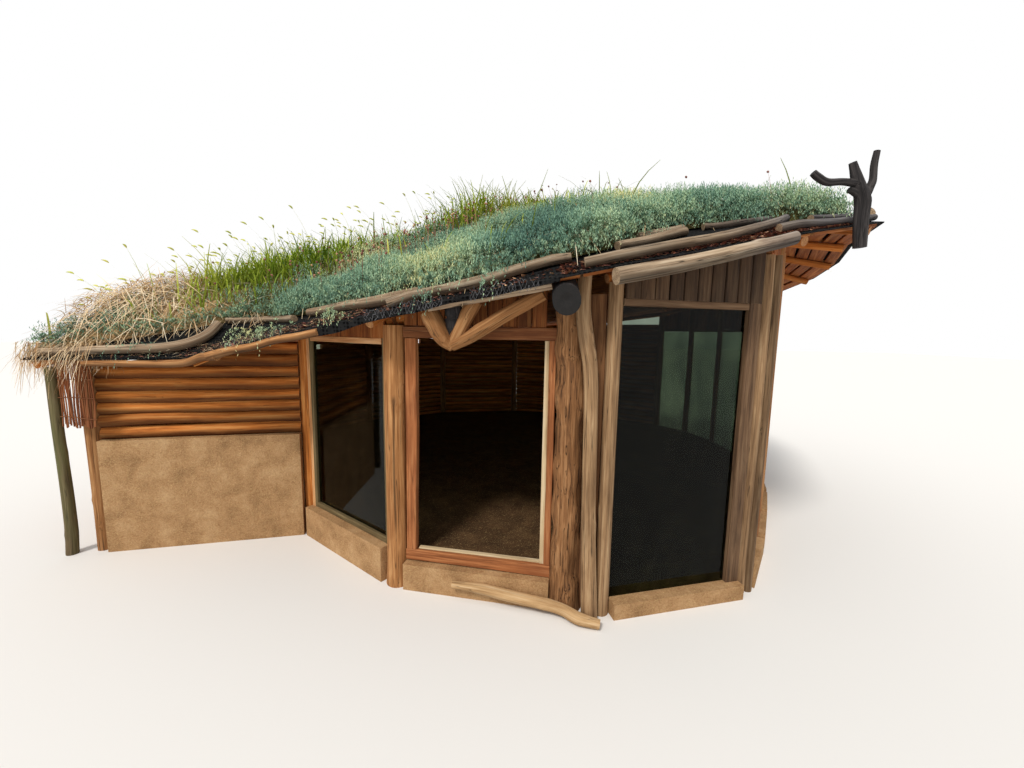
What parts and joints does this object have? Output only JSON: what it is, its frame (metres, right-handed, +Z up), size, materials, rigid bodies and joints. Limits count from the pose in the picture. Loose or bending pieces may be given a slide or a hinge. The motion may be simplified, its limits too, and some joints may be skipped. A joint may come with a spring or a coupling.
{
  "type": "turf-roofed roundhouse",
  "caption": "Earth-sheltered timber roundhouse with a living turf roof, log posts, stacked-pole walls, clay plinth, fixed windows and an open board-framed doorway.",
  "frame": {"origin": "under the roof's crown, on the lowest ground", "axes": "+Z up, -Y towards the doorway side, +X to the right seen from the doorway side"},
  "size_m": [8.7661, 7.6829, 3.9386],
  "materials": {
    "clay": "rough sun-dried clay and straw",
    "earth": "trodden earth with litter",
    "pole_orange": "debarked poles, oiled orange-brown",
    "post_pale": "debarked post, dry and cracked",
    "stile_grey": "grey weathered batten",
    "frame_red": "reddish live-edge boards",
    "bead_pale": "pale planed strip",
    "board_orange": "orange-brown boards",
    "bark": "deeply ridged bark",
    "board_dark": "dark recessed board",
    "beam_dark": "dark weathered log",
    "grey_pole": "bent poles, silver-grey and brown",
    "glass": "clear window glass",
    "membrane": "black dimpled sheet",
    "turf": "turf with grey-green succulents, grass and straw",
    "stick": "thin reddish sticks",
    "moss": "mossy wood"
  },
  "bodies": {
    "root": {"earth_floor": "earth", "plinth_front": "clay", "plinth_wing": "clay", "plinth_rear": "clay", "wing_poles": "pole_orange", "post_left": "post_pale", "window_left_frame": "stile_grey", "window_left_glass": "glass", "window_left_boards": "board_orange", "post_round": "post_pale", "door_sill": "frame_red", "door_jambs": "frame_red", "door_head": "frame_red", "door_bead": "bead_pale", "door_boards": "board_orange", "post_bark": "bark", "post_bent": "post_pale", "corner_boards": "board_dark", "post_corner": "post_pale", "window_tall_frame": "frame_red", "window_tall_glass": "glass", "window_tall_boards": "board_orange", "posts_right": "post_pale", "side_posts": "post_pale", "side_rails": "frame_red", "side_glass": "glass", "side_boards": "board_orange", "back_posts": "post_pale", "back_poles": "pole_orange", "wall_plate": "grey_pole", "main_log": "beam_dark", "rafters": "pole_orange", "crown_ring": "pole_orange", "roof_deck": "board_orange", "roof_membrane": "membrane", "roof_turf": "turf", "eave_poles_front": "grey_pole", "eave_pole_low": "grey_pole", "eave_poles_rear": "grey_pole", "eave_board": "grey_pole", "door_bracket": "post_pale", "tip_fork": "beam_dark", "stick_screen": "stick", "stub_post": "moss", "threshold_log": "bead_pale"}
  },
  "joints": []
}
